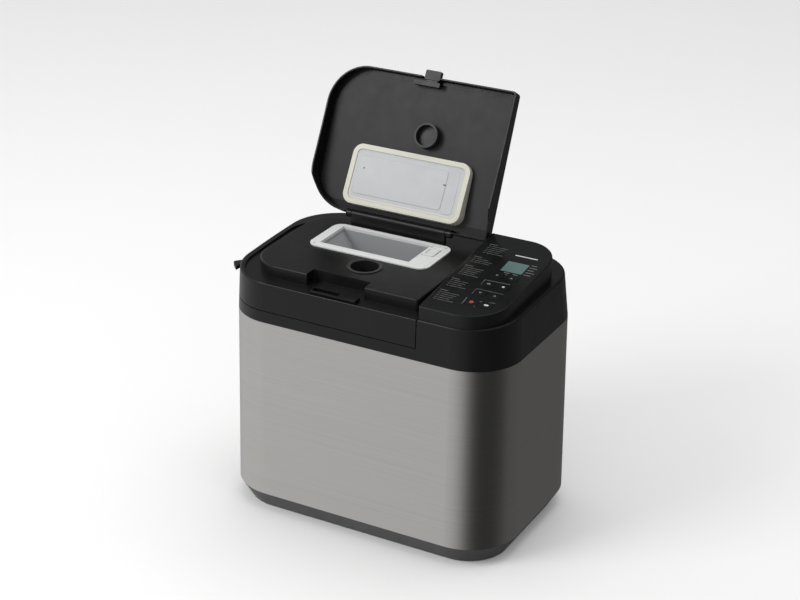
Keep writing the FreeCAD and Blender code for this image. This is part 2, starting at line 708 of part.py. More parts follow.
def loop_round(large, small, distance, bottom, tall):
    """The solid inside a belt line round two pulleys, the large one at the origin."""
    lean = math.asin((large - small) / distance)
    up, across = math.cos(lean), math.sin(lean)
    big_top, big_low = V(large * across, large * up, 0), V(large * across, -large * up, 0)
    tip = V(distance, 0, 0)
    small_top = tip + V(small * across, small * up, 0)
    small_low = tip + V(small * across, -small * up, 0)
    edges = [
        Part.LineSegment(big_top, small_top).toShape(),
        Part.Arc(small_top, tip + V(small, 0, 0), small_low).toShape(),
        Part.LineSegment(small_low, big_low).toShape(),
        Part.Arc(big_low, V(-large, 0, 0), big_top).toShape(),
    ]
    face = Part.Face(Part.Wire(edges))
    face.translate(V(0, 0, bottom))
    return face.extrude(V(0, 0, tall))


def make_belt():
    """Flat belt from the motor pulley to the large pulley, running clear of both by a hair."""
    inner_large, inner_small = size("pulley_r + belt_gap"), size("pinion_r + belt_gap")
    thick, distance = size("belt_t"), size("motor_x - oven_x")
    bottom, tall = size("belt_z"), size("belt_w")
    outer = loop_round(inner_large + thick, inner_small + thick, distance, bottom, tall)
    inner = loop_round(inner_large, inner_small, distance, bottom - 1, tall + 2)
    belt = doc.addObject("Part::Feature", "Belt")
    belt.Shape = outer.cut(inner)
    move(belt, "oven_x")
    piece(belt, "drive_belt")


# ---------------------------------------------------------------- baking chamber
def make_chamber():
    """Steel baking chamber: open box with a top flange, a shaft hole and element holes."""
    left, right = "oven_x - oven_w / 2", "oven_x + oven_w / 2"
    outer = block(left, right, "-oven_d / 2", "oven_d / 2", "oven_floor", "ring_top - wall", "oven_r")
    flange = block(f"{left} - 6", f"{right} + 6", "-oven_d / 2 - 6", "oven_d / 2 + 6",
                   "ring_top - wall - 1.2", "ring_top - wall", "oven_r + 6")
    t = "oven_wall"
    inner = block(f"{left} + {t}", f"{right} - {t}", f"-oven_d / 2 + {t}", f"oven_d / 2 - {t}",
                  f"oven_floor + {t}", "ring_top", f"oven_r - {t}")
    holes = [cylinder("oven_x", 0, "oven_floor - 2", "oven_floor + 4", "11")]
    for y in (-12, 12):
        holes.append(rod_x(f"{right} - 6", f"{right} + 4", y, "element_z", "4"))
    sensor = cylinder(20, "-oven_d / 2 + 6", 0, 12, 4, FreeCAD.Rotation(X_AXIS, 90))
    move(sensor, 20, "-oven_d / 2 + 6", 130, FreeCAD.Rotation(X_AXIS, 90))
    piece(cut(join(outer, flange), inner, *holes, sensor), "baking_chamber")


ELEMENT_RADIUS = 3.2
ELEMENT_INSET = 7.5


def rounded_path(points, radii):
    """A wire of straight runs whose corners are arcs, one radius for each corner."""
    edges = []
    last = points[0]
    for before, corner, after, radius in zip(points, points[1:], points[2:], radii):
        back = (before - corner).normalize()
        onward = (after - corner).normalize()
        start, end = corner + back * radius, corner + onward * radius
        centre = corner + (back + onward) * radius
        middle = centre - (back + onward).normalize() * radius
        edges.append(Part.LineSegment(last, start).toShape())
        edges.append(Part.Arc(start, middle, end).toShape())
        last = end
    edges.append(Part.LineSegment(last, points[-1]).toShape())
    return Part.Wire(edges)


def pipe(path, radius, direction):
    """A round bar along a path that sets off in the given direction."""
    start = path.Vertexes[0].Point
    ring = Part.Wire(Part.Circle(start, direction, radius).toShape())
    return path.makePipeShell([ring], True, True)


def make_element():
    """Tubular heater in one loop round the foot of the chamber; both ends leave on the right."""
    right = size("oven_x + oven_w / 2")
    left = size("oven_x - oven_w / 2")
    half = size("oven_d / 2")
    z, inset, tail = size("element_z"), ELEMENT_INSET, 12.0
    points = [
        V(right + 12, -tail, z), V(right - inset, -tail, z), V(right - inset, -half + inset, z),
        V(left + inset, -half + inset, z), V(left + inset, half - inset, z),
        V(right - inset, half - inset, z), V(right - inset, tail, z), V(right + 12, tail, z),
    ]
    tight, wide = 7.0, size("oven_r") - inset
    radii = [tight, wide, wide, wide, wide, tight]
    element = doc.addObject("Part::Feature", "Element")
    element.Shape = pipe(rounded_path(points, radii), ELEMENT_RADIUS, V(-1, 0, 0))
    element.Placement = FreeCAD.Placement()
    piece(element, "heating_element")
    clips = []
    for x in (-100, -20):
        for side in (-1, 1):
            y = f"{side} * (oven_d / 2 - {ELEMENT_INSET})"
            eye = rod_x(x - 4, x + 4, y, "element_z", "5")
            bore = rod_x(x - 5, x + 5, y, "element_z", f"{ELEMENT_RADIUS} + 0.1")
            wall = f"{side} * (oven_d / 2 - oven_wall)"
            near, far = (wall, f"{wall} + 5") if side < 0 else (f"{wall} - 5", wall)
            tab = block(x - 4, x + 4, near, far, "element_z - 2", "element_z + 10")
            clips.append(cut(join(eye, tab), bore))
    piece(group(*clips), "element_clips")


def make_sensor():
    """Temperature sensor through the front wall of the chamber."""
    profile = [("0", "0"), ("8", "0"), ("8", "2"), ("4", "2"), ("4", "8"), ("3", "10"), ("0", "10")]
    turned("temperature_sensor", profile, 20, "-oven_d / 2 - 2", 130, FreeCAD.Rotation(X_AXIS, -90))


def sector(radius, start, sweep, bottom, top):
    """A pie slice about the drive axis, from start, counter-clockwise."""
    return cylinder("oven_x", 0, bottom, top, radius, FreeCAD.Rotation(Z_AXIS, start), sweep)


LUG_SPAN = 14.0


def make_socket():
    """Bayonet ring on the chamber floor: three lugs of the pan enter it and turn to lock."""
    floor_z = "oven_floor + oven_wall"
    ring = cut(cylinder("oven_x", 0, floor_z, f"{floor_z} + 16", "socket_r"),
               cylinder("oven_x", 0, f"{floor_z} - 1", f"{floor_z} + 17", "foot_r + 0.4"))
    slots = []
    for i in range(3):
        start = 120 * i - LUG_SPAN / 2 - 1
        twist = size("twist")
        slots.append(sector("foot_r + 5.5", start, LUG_SPAN + 2 + twist, f"{floor_z} + 5", f"{floor_z} + 11"))
        slots.append(sector("foot_r + 5.5", start + twist, LUG_SPAN + 2, f"{floor_z} + 5", f"{floor_z} + 17"))
    piece(cut(ring, *slots), "pan_socket")


def make_bearing():
    """Bearing housing under the chamber floor with two bushes for the drive shaft."""
    turned("bearing_housing", [
        ("8", "36"), ("11", "36"), ("11", "oven_floor - 4"), ("24", "oven_floor - 4"),
        ("24", "oven_floor"), ("8", "oven_floor")], x="oven_x")
    bushes = []
    for low in ("36", "oven_floor - 8"):
        bushes.append(cut(cylinder("oven_x", 0, low, f"{low} + 8", "8"),
                          cylinder("oven_x", 0, f"{low} - 1", f"{low} + 9", "shaft_r + running")))
    piece(group(*bushes), "shaft_bushes")


# ---------------------------------------------------------------- drive, pan and kneader
def make_drive():
    """Large pulley on the drive shaft, with a two-pegged dog inside the chamber."""
    shaft = cylinder("oven_x", 0, "15", "oven_floor + 3", "shaft_r")
    disc = cylinder("oven_x", 0, "oven_floor + 2.2", "oven_floor + 5", "12")
    pegs = [cylinder(f"oven_x + {s} * 9", 0, "oven_floor + 4", "oven_floor + 10", "2.5") for s in (-1, 1)]
    piece(join(shaft, disc, *pegs), "drive_shaft")
    body_of_pulley("drive_pulley", "pulley_r", "shaft_r", "oven_x")


def make_pan():
    """Deep tin with a rolled rim, two ears for the handle and a cast foot with three lugs."""
    def tin(inset, low, high):
        return block(f"oven_x - pan_w / 2 + ({inset})", f"oven_x + pan_w / 2 - ({inset})",
                     f"-pan_d / 2 + ({inset})", f"pan_d / 2 - ({inset})", low, high, f"pan_r - ({inset})")
    outer = rounded(tin("1.5", "pan_floor", "pan_top"), "8", low_edge("pan_floor"))
    inner = rounded(tin("1.5 + pan_wall", "pan_floor + pan_wall", "pan_top + 5"), "6.5",
                    low_edge("pan_floor + pan_wall"))
    rim = tin("0", "pan_top - 2.5", "pan_top")
    floor_z = "oven_floor + oven_wall"
    foot = cylinder("oven_x", 0, f"{floor_z} + 2", "pan_floor + 0.5", "foot_r")
    foot_bore = cylinder("oven_x", 0, f"{floor_z}", "pan_floor", "foot_r - 4")
    hub = cylinder("oven_x", 0, "pan_floor - 4", "pan_floor + 12", "9")
    lugs = []
    for i in range(3):
        lugs.append(sector("foot_r + 4.5", 120 * i - LUG_SPAN / 2, LUG_SPAN,
                           f"{floor_z} + 6", f"{floor_z} + 10"))
    ears = []
    for side in (-1, 1):
        x = f"oven_x + {side} * (pan_w / 2 - 2.5)"
        ears.append(block(f"{x} - 1.25", f"{x} + 1.25", "-7", "7", "pan_top - 6", "pan_top + 12", "0"))
    bore = cylinder("oven_x", 0, "pan_floor - 8", "pan_floor + 14", "kneader_r + running")
    ear_bore = rod_x("oven_x - 90", "oven_x + 90", 0, "pan_top + 6", "2.58")
    walls = cut(join(cut(foot, foot_bore), *[cut(lug, foot_bore) for lug in lugs], outer, rim), inner)
    piece(cut(join(walls, hub, *ears), bore, ear_bore), "bread_pan")


def low_edge(level):
    """Chooses the edges that lie flat at one height."""
    z = size(level)
    return lambda edge: all(abs(v.Z - z) < 1e-3 for v in edge.Vertexes)


def make_handle():
    """Wire bail across the pan, its two ends turned out through the ears."""
    x, z, reach = size("oven_x"), size("pan_top + 6"), 58.0
    near, far = size("pan_w / 2 - 9"), size("pan_w / 2 + 1.5")
    points = [V(x - far, 0, z), V(x - near, 0, z), V(x - near, -reach, z), V(x + near, -reach, z),
              V(x + near, 0, z), V(x + far, 0, z)]
    handle = doc.addObject("Part::Feature", "Handle")
    handle.Shape = pipe(rounded_path(points, [5.0] * 4), 2.5, V(1, 0, 0))
    handle.Placement = FreeCAD.Placement()
    piece(handle, "pan_handle")


def make_kneader():
    """Shaft through the pan floor, its driven dog below and the kneading blade above."""
    shaft = cylinder("oven_x", 0, "oven_floor + 11", "pan_floor + 34", "kneader_r")
    disc = cylinder("oven_x", 0, "oven_floor + 11", "oven_floor + 14", "12.5")
    bars = [block(f"oven_x - 1.5", "oven_x + 1.5", y0, y1, "oven_floor + 6.5", "oven_floor + 12")
            for y0, y1 in (("4.5", "12"), ("-12", "-4.5"))]
    piece(join(shaft, disc, *bars), "kneader_shaft")
    hub = cylinder("oven_x", 0, "pan_floor + 12.4", "pan_floor + 34.5", "9")
    fin = block("oven_x", "oven_x + 46", "-3", "3", "pan_floor + 12.4", "pan_floor + 26", "2.9")
    tall_fin = block("oven_x", "oven_x + 26", "-2.4", "2.4", "pan_floor + 20", "pan_floor + 44", "2.3")
    bore = cylinder("oven_x", 0, "pan_floor + 10", "pan_floor + 34", "kneader_r")
    piece(cut(join(hub, fin, tall_fin), bore), "kneading_blade")


# ---------------------------------------------------------------- main lid
def make_lid_frame():
    """Main lid moulding: skirt, rim, channel, raised deck with its notch, and the hinge bar."""
    skirt = overlap(lid_outline("ring_top + seam", "400"), under_rim())
    skirt = rounded(skirt, "3", on_rim)
    deck = overlap(deck_outline("300", "400"), below("deck"))
    deck = rounded(deck, "2.2", lambda e: on_surface(e, "deck"))
    channel = cut(channel_outline(), under_rim("-channel"), deck_outline("240", "430"))
    solid = join(cut(skirt, channel), deck)
    under_skirt = overlap(lid_outline("ring_top - 5", "400", "wall"), under_rim("-channel - wall"))
    under_deck = overlap(deck_outline("290", "400", "wall"), below("deck", "-wall"))
    notch = cut(block("-notch_left", "notch_right", "-deck_front_y - 4", "-notch_back", "300", "400",
                      ("0", "0", "3", "3")), under_rim("-channel"))
    notch_wall = block("-notch_left - wall", "notch_right + wall", "-deck_front_y - 6",
                       "-notch_back + wall", "316", "400")
    hollow = cut(join(under_skirt, under_deck), cut(notch_wall, under_rim("-channel - wall")))
    bar = rod_x("bar_left", "bar_right", "hinge_y", "hinge_z", "bar_r")
    web = block("bar_left", "bar_right", "hinge_y - bar_r", "hinge_y", "deck_front - 1", "hinge_z")
    bosses = overlap(join(*[cylinder(x, y, "291.2", "360", "4.5") for x, y in LINER_SCREWS]),
                     under_rim("-channel - 0.5"))
    ears, slots, pin_bores = [], [], []
    for x in LID_HINGES:
        left, right = f"{x} - lug_w / 2", f"{x} + lug_w / 2"
        slots.append(block(f"{left} - 1", f"{right} + 1", "lid_axis_y - 9", "lid_axis_y + 9",
                           "ring_top - 2", "lid_axis_z + 7"))
        for edge in (f"{left} - 4", f"{right} + 4"):
            ears.append(block(f"{edge} - 3", f"{edge} + 3", "lid_axis_y - 7", "lid_axis_y + 3.2",
                              "lid_axis_z - 6", "lid_axis_z + 22"))
        pin_bores.append(rod_x(f"{left} - 9", f"{right} + 9", "lid_axis_y", "lid_axis_z",
                               "lid_pin_r + 0.06"))
    slack = "(hopper_wall + 0.2)"
    tray_hole = block(f"-hopper_left - {slack}", f"hopper_right + {slack}", f"-hopper_front - {slack}",
                      f"hopper_rear + {slack}", "310", "400", "2")
    yeast_hole = cylinder("yeast_x", "yeast_y", "300", "400", f"yeast_r + {slack}")
    rod_bore = rod_x("bar_left - 1", "bar_right + 1", "hinge_y", "hinge_z", "rod_r")
    screw_bores = [cylinder(x, y, "290", "301", "1.25") for x, y in LINER_SCREWS]
    shell = join(cut(solid, hollow, notch), bar, web, bosses, finger_lip(), *ears)
    piece(cut(shell, *slots, *pin_bores, tray_hole, yeast_hole, rod_bore, *screw_bores), "lid_frame")


LINER_SCREWS = [(x, y) for x in (-150, -40, 66) for y in (-112, 103)]


def finger_lip():
    """Small moulded pull on the left flank of the lid."""
    sketch = free_sketch(z="313.5")
    outward = [("3.4", "-90"), ("-3", "-84"), ("-8", "-78"), ("-8", "-75"), ("-2", "-68"), ("3.4", "-64")]
    draw_polygon(sketch, [(f"-body_w / 2 + ({x})", y) for x, y in outward])
    return extrude(sketch, "5")


def make_lid_inner():
    """Metal inner cover with its screws, and the soft seal that closes on the chamber."""
    low, high = "290", "291.2"
    plate = block("-body_w / 2 + 6", "split_x - 7", "-body_d / 2 + 6", "114", low, high,
                  ("body_r - 6", "3", "3", "body_r - 12"))
    hopper_hole = block("-hopper_left - 3", "hopper_right + 6", "-hopper_front - 4", "hopper_rear + 8",
                        "280", "300", "2")
    yeast_hole = block("yeast_x - 17", "yeast_x + 17", "yeast_y - 14", "yeast_y + 22", "280", "300", "3")
    screws = [cylinder(x, y, "280", "300", "1.7") for x, y in LINER_SCREWS]
    piece(cut(plate, hopper_hole, yeast_hole, *screws), "lid_liner")
    fasteners = []
    for x, y in LINER_SCREWS:
        fasteners.append(join(cylinder(x, y, "288.2", "290", "3.4"), cylinder(x, y, "289", "300", "1.2")))
    piece(group(*fasteners), "liner_screws")
    seal = block("oven_x - oven_w / 2 - 10", "oven_x + oven_w / 2 + 10",
                 "-oven_d / 2 - 10", "oven_d / 2 + 10",
                 "ring_top + 0.3", "290", "oven_r + 10")
    inside = block("oven_x - oven_w / 2 - 2", "oven_x + oven_w / 2 + 2", "-oven_d / 2 - 2", "oven_d / 2 + 2",
                   "ring_top", "291", "oven_r + 2")
    piece(cut(seal, inside), "lid_gasket")


def tray_plan(bottom, top, inset="0"):
    return block(f"-tray_left + ({inset})", f"tray_right - ({inset})", f"-tray_front + ({inset})",
                 f"tray_rear - ({inset})", bottom, top, f"tray_r - ({inset})")


def make_hopper():
    """White raisin hopper: a flange on the deck, a deep box with a slanted end, and flap lugs."""
    flange = overlap(tray_plan("320", "380"), between("deck", "0", "tray_lip"))
    t = "hopper_wall"
    box = block(f"-hopper_left - {t}", f"hopper_right + {t}", f"-hopper_front - {t}", f"hopper_rear + {t}",
                "hopper_bottom", "360", "1.8")
    box = cut(box, above("deck", "0.8"))
    well = block("-hopper_left", "hopper_right", "-hopper_front", "hopper_rear", "hopper_bottom - 5", "380",
                 "0.5")
    slant_sketch = free_sketch(FRONT, y="hopper_rear + 0.5")
    draw_polygon(slant_sketch, [("-hopper_left - 1", "334"), ("-hopper_left + 26", "hopper_bottom"),
                                ("-hopper_left - 1", "hopper_bottom")])
    slant = extrude(slant_sketch, "hopper_front + hopper_rear + 1")
    lever_slot = overlap(block("lever_left - 0.5", "lever_left + 16.5", "lever_y - 13", "lever_y + 20",
                               "330", "380", "2"), above("deck", "0.6"))
    lugs = []
    for left, right in (("-90", "-86.5"), ("13.6", "17")):
        lugs.append(block(left, right, "hopper_rear - 3", "hopper_rear + 6", "291.6", "300", "0.5"))
    bore = rod_x("-95", "20", "hopper_rear + 3", "294.4", "1.56")
    shell = cut(join(flange, box), well)
    piece(cut(join(shell, slant, *lugs), lever_slot, bore), "raisin_hopper")


def make_flap():
    """Trapdoor under the hopper, turning on a barrel along its rear edge."""
    plate = block("-86", "13", "-hopper_front - 1", "hopper_rear + 2.4", "hopper_bottom - 2",
                  "hopper_bottom - 0.4", "0.8")
    barrel = rod_x("-86", "13", "hopper_rear + 3", "294.4", "2")
    pins = rod_x("-89.5", "16.5", "hopper_rear + 3", "294.4", "1.5")
    piece(join(plate, barrel, pins), "raisin_flap")


def make_flap_lever():
    """Small slide on the tray that frees the trapdoor."""
    body = overlap(block("lever_left", "lever_left + 16", "lever_y - 12", "lever_y + 12", "330", "380",
                         "1.5"), between("deck", "0.7", "2.8"))
    window = overlap(block("lever_left + 2.5", "lever_left + 13.5", "lever_y - 7", "lever_y + 7",
                           "330", "380", "1"), above("deck", "1.7"))
    piece(cut(body, window), "flap_lever")


def spun(profile, x, y, z, rotation=FLAT):
    """A solid of revolution about Z from radius, height pairs, then placed."""
    sketch = free_sketch(FRONT)
    draw_polygon(sketch, profile)
    turn = doc.addObject("Part::Revolution", "Spun")
    turn.Source = sketch
    turn.Axis = Z_AXIS
    turn.Angle = 360
    turn.Solid = True
    return move(group(turn), x, y, z, rotation)


def make_yeast_cup():
    """Yeast cup let into the deck, square to its slope, with two lugs for the valve."""
    place = ("yeast_x", "yeast_y", height_at("deck", "yeast_y"),
             FreeCAD.Rotation(X_AXIS, size("deck_slope")))
    wall = "hopper_wall"
    outer = spun([("0", "-36.4"), (f"12 + {wall}", "-36.4"), (f"12 + {wall}", "-31"),
                  (f"yeast_r + {wall}", "-14.5"), (f"yeast_r + {wall}", "0"), ("yeast_ring", "0"),
                  ("yeast_ring", "0.9"), ("yeast_r", "0.6"), ("0", "0.6")], *place)
    inner = spun([("0", "-38"), ("12", "-38"), ("12", "-30.5"), ("yeast_r", "-14"), ("yeast_r", "1"),
                  ("0", "1")], *place)
    lugs = [block(f"yeast_x + {side} * 13 - 1.5", f"yeast_x + {side} * 13 + 1.5", "yeast_y + 10.5",
                  "yeast_y + 19", "valve_z - 3", "320", "0.5") for side in (-1, 1)]
    bore = rod_x("yeast_x - 20", "yeast_x + 20", "yeast_y + 16", "valve_z", "valve_pin + 0.06")
    piece(cut(join(outer, *lugs), inner, bore), "yeast_cup")


def make_yeast_valve():
    """Valve plate below the yeast cup, turning on two stub pins behind it."""
    plate = cylinder("yeast_x", "yeast_y + 2.2", "valve_z + 2", "valve_z + 3.2", "13")
    arm = block("yeast_x - 8", "yeast_x + 8", "yeast_y + 8", "yeast_y + 18",
                "valve_z - 2", "valve_z + 3.2", "0.5")
    pins = rod_x("yeast_x - 14", "yeast_x + 14", "yeast_y + 16", "valve_z", "valve_pin")
    piece(join(plate, arm, pins), "yeast_valve")


# ---------------------------------------------------------------- dispenser lid (modelled shut, then opened)
def opened(obj, label):
    """Swing a shape from shut to fully open about the dispenser hinge."""
    holder = doc.addObject("Part::Compound", "Swung")
    holder.Links = [obj]
    turn = FreeCAD.Rotation(X_AXIS, -size("open_angle"))
    pivot = V(0, size("hinge_y"), size("hinge_z"))
    holder.Placement = FreeCAD.Placement(pivot - turn.multVec(pivot), turn)
    return piece(holder, label)


def make_dispenser_shell():
    """Outer shell of the dispenser lid, with a skirt down to the rim and two hinge knuckles."""
    skirt_room = side_slab([("-200", "300"), ("27", "300"), ("27", "rim_top"), ("43", "deck_front + 2"),
                            ("disp_rear", "deck_front + 7"), ("200", "500"), ("-200", "500")])
    outer = cut(overlap(dispenser_outline(), below("top"), skirt_room), under_rim("skirt_gap"))
    outer = rounded(outer, "1.6", lambda e: on_surface(e, "top"))
    shell = cut(outer, overlap(dispenser_outline("disp_wall"), below("top", "-disp_wall")))
    passage = overlap(block("bar_left - 9", "bar_right + 9", "hinge_y - 14", "90", "300", "400"),
                      below("top", "-disp_wall"))
    knuckles = []
    for left, right in KNUCKLES:
        knuckles.append(rod_x(left, right, "hinge_y", "hinge_z", "bar_r"))
        knuckles.append(block(left, right, "hinge_y - bar_r", "hinge_y", "hinge_z",
                              f"{height_at('top', '(hinge_y - bar_r)')} - 1"))
    tab_gap = block("-50", "-24", "-disp_front - 5", "-disp_front + 4", "300", "334.2")
    bore = rod_x("bar_left - 12", "bar_right + 12", "hinge_y", "hinge_z", "rod_r + 0.06")
    return cut(join(cut(shell, passage), *knuckles), tab_gap, bore)


KNUCKLES = (("bar_left - 8", "bar_left - 0.8"), ("bar_right + 0.8", "bar_right + 8"))


def make_dispenser_lid():
    """Dispenser lid with its inner liner, the seal and cover over the hopper, and the yeast plug."""
    opened(make_dispenser_shell(), "dispenser_lid")
    roof = "-disp_wall - 0.1 - liner_t"
    liner = overlap(block("-disp_left + 5", "disp_right - 5", "-disp_front + 8", "hinge_y - 14", "300", "400",
                          ("disp_r - 5", "3", "3", "disp_r - 24")),
                    between("top", roof, "-disp_wall - 0.1"))
    opened(liner, "dispenser_lid_liner")
    ring_space = wedge("deck", "tray_lip + 0.4", "top", roof)
    ring = cut(overlap(tray_plan("320", "400", "0.5"), ring_space), tray_plan("310", "420", "7"))
    opened(ring, "hopper_gasket")
    cover_space = wedge("deck", "tray_lip + 1.6", "top", roof)
    opened(overlap(tray_plan("320", "400", "7"), cover_space), "hopper_cover")
    sleeve = cut(cylinder("yeast_x", "yeast_y", "333.5", "360", "16.4"),
                 cylinder("yeast_x", "yeast_y", "330", f"{height_at('top', 'yeast_y')} {roof} - 3", "13.6"))
    opened(overlap(sleeve, below("top", roof)), "yeast_plug")


def make_latch():
    """Spring-loaded tab in the lid's front edge, with the hook that enters the keeper."""
    lever = block("-48", "-26", "-disp_front - 9", "-disp_front + 3.4", "327", "333.6", "1.5")
    arm = block("-62", "-24", "-disp_front + 6", "-disp_front + 12", "326.5", "333", "1")
    neck = block("-45", "-29", "-disp_front + 2", "-disp_front + 8", "328", "332")
    opened(join(lever, arm, neck), "latch_tab")


def make_keeper():
    """Latch keeper on the floor of the channel, in front of the deck's notch."""
    keeper = cut(block("-66", "-2", "-119.5", "-107", "318", "325.4", "1"),
                 block("-64", "-28", "-117.8", "-109", "320", "330", "1"))
    piece(cut(keeper, under_rim("-channel")), "latch_keeper")


def make_hinge_rods():
    piece(rod_x("bar_left - 8", "bar_right + 8", "hinge_y", "hinge_z", "rod_r"), "dispenser_hinge_rod")
    pins = [rod_x(f"{x} - lug_w / 2 - 7", f"{x} + lug_w / 2 + 7", "lid_axis_y", "lid_axis_z", "lid_pin_r")
            for x in LID_HINGES]
    piece(group(*pins), "lid_hinge_pins")


MAKERS = [
    make_plinth, make_feet, make_chassis, make_base_screws, make_wrap, make_rear_grille, make_cord_inlet,
    make_top_housing, make_control_panel, make_control_board, make_keys, make_power_board, make_motor,
    make_belt, make_chamber, make_element, make_sensor, make_socket, make_bearing, make_drive, make_pan,
    make_handle, make_kneader, make_lid_frame, make_lid_inner, make_hopper, make_flap, make_flap_lever,
    make_yeast_cup, make_yeast_valve, make_dispenser_lid, make_latch, make_keeper, make_hinge_rods,
]


def check_document():
    """Stop if any object failed or any sub-part is not a sound solid."""
    doc.recompute()
    for obj in doc.Objects:
        if "Invalid" in obj.State or "Error" in obj.State:
            raise RuntimeError(f"{obj.Name} ({obj.Label}) failed: {obj.State}")
    for obj in pieces:
        shape = obj.Shape
        if shape.isNull() or not shape.isValid() or not shape.Solids:
            raise RuntimeError(f"{obj.Label} is not a valid solid")


def export_pieces():
    os.makedirs("parts", exist_ok=True)
    for obj in pieces:
        obj.Shape.exportStep(f"parts/{obj.Label}.step")
        print(f"{obj.Label:22s} {len(obj.Shape.Solids)} solid(s) {obj.Shape.Volume / 1000:9.2f} cm3")


for make in MAKERS:
    make()
check_document()
export_pieces()
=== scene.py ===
import json
import math

import bpy
from mathutils import Matrix, Vector


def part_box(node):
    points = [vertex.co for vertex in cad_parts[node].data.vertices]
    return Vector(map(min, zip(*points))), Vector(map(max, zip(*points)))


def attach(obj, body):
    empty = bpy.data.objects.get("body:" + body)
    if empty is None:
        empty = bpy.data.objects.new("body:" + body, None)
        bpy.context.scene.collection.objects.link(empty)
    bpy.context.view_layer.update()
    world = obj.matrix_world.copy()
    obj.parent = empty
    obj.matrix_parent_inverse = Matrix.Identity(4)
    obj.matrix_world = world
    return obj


# Looks of the bread machine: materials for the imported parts, the printed panel, the display, the
# moulded seal and small details, then the floor, the lights and the camera. Metres, row frame.

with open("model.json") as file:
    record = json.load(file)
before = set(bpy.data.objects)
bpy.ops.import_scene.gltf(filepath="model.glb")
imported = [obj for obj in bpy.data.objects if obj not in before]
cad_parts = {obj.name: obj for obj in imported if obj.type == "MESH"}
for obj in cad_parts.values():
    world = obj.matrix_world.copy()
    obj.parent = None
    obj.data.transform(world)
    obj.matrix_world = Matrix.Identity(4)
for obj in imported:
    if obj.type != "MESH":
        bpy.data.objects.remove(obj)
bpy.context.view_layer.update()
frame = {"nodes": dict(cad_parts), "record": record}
NODES = frame["nodes"]
MM = 0.001


# ---------------------------------------------------------------- node helpers
class Maker:
    """A material under construction, with short calls for the nodes that it needs."""

    def __init__(self, name):
        self.material = bpy.data.materials.new(name)
        self.material.use_nodes = True
        self.tree = self.material.node_tree
        self.shader = self.tree.nodes["Principled BSDF"]

    def node(self, kind, **settings):
        made = self.tree.nodes.new(kind)
        for name, value in settings.items():
            setattr(made, name, value)
        return made

    def link(self, source, target):
        self.tree.links.new(source, target)

    def constant(self, **values):
        for name, value in values.items():
            self.shader.inputs[name.replace("_", " ")].default_value = value

    def place(self, scale=(1, 1, 1)):
        """Coordinates of the piece in metres, stretched."""
        coordinates = self.node("ShaderNodeTexCoord")
        mapping = self.node("ShaderNodeMapping")
        mapping.inputs["Scale"].default_value = scale
        self.link(coordinates.outputs["Object"], mapping.inputs["Vector"])
        return mapping.outputs["Vector"]

    def noise(self, scale, detail=3.0, roughness=0.55, stretch=(1, 1, 1)):
        made = self.node("ShaderNodeTexNoise")
        made.inputs["Scale"].default_value = scale
        made.inputs["Detail"].default_value = detail
        made.inputs["Roughness"].default_value = roughness
        self.link(self.place(stretch), made.inputs["Vector"])
        return made.outputs["Fac"]

    def spread(self, source, low, high, start=0.3, end=0.7):
        """Maps a noise to a range."""
        made = self.node("ShaderNodeMapRange")
        made.inputs["From Min"].default_value = start
        made.inputs["From Max"].default_value = end
        made.inputs["To Min"].default_value = low
        made.inputs["To Max"].default_value = high
        self.link(source, made.inputs["Value"])
        return made.outputs["Result"]

    def below(self, level, softness):
        """1 under a level of the piece, 0 above it, in metres."""
        split = self.node("ShaderNodeSeparateXYZ")
        self.link(self.place(), split.inputs["Vector"])
        return self.spread(split.outputs["Z"], 1.0, 0.0, level - softness, level + softness)

    def blend(self, factor, first, second):
        """A colour between two others."""
        made = self.node("ShaderNodeMix", data_type="RGBA")
        self.link(factor, made.inputs["Factor"])
        made.inputs["A"].default_value = (*first, 1)
        made.inputs["B"].default_value = (*second, 1)
        return made.outputs["Result"]

    def bump(self, source, strength, distance, normal=None):
        made = self.node("ShaderNodeBump")
        made.inputs["Strength"].default_value = strength
        made.inputs["Distance"].default_value = distance
        self.link(source, made.inputs["Height"])
        if normal is not None:
            self.link(normal, made.inputs["Normal"])
        return made.outputs["Normal"]

    def soft_edges(self, radius):
        made = self.node("ShaderNodeBevel", samples=4)
        made.inputs["Radius"].default_value = radius
        return made.outputs["Normal"]


def shade(colour, amount):
    return tuple(c * amount for c in colour)


def plastic(name, colour, roughness, grain=0.12, grain_size=0.35, vary=0.12, edge=0.4, specular=0.5):
    """Moulded plastic: a fine spark texture, faint mottling and softened edges."""
    m = Maker(name)
    m.constant(IOR=1.5, Specular_IOR_Level=specular)
    broad = m.noise(14.0, 2.0)
    m.link(m.blend(m.spread(broad, 0, 1), shade(colour, 1 - vary), shade(colour, 1 + vary)),
           m.shader.inputs["Base Color"])
    m.link(m.spread(m.noise(60.0, 4.0), roughness - 0.04, roughness + 0.04), m.shader.inputs["Roughness"])
    fine = m.noise(1.0 / (grain_size * MM), 2.0, 0.6)
    m.link(m.bump(fine, grain, 0.05 * MM, m.soft_edges(edge * MM)), m.shader.inputs["Normal"])
    return m.material


def brushed(name, colour, roughness):
    """Stainless sheet with horizontal brushing that runs round the body."""
    m = Maker(name)
    m.constant(Metallic=1.0, Anisotropic=0.75, Anisotropic_Rotation=0.25)
    tangent = m.node("ShaderNodeTangent", direction_type="RADIAL", axis="Z")
    m.link(tangent.outputs["Tangent"], m.shader.inputs["Tangent"])
    lines = m.noise(1.0, 3.0, 0.7, (9, 9, 5200))
    wide = m.noise(1.0, 2.0, 0.6, (4, 4, 700))
    m.link(m.blend(m.spread(wide, 0, 1), shade(colour, 0.965), shade(colour, 1.035)),
           m.shader.inputs["Base Color"])
    m.link(m.spread(lines, roughness - 0.03, roughness + 0.03), m.shader.inputs["Roughness"])
    m.link(m.bump(lines, 0.04, 0.02 * MM), m.shader.inputs["Normal"])
    return m.material


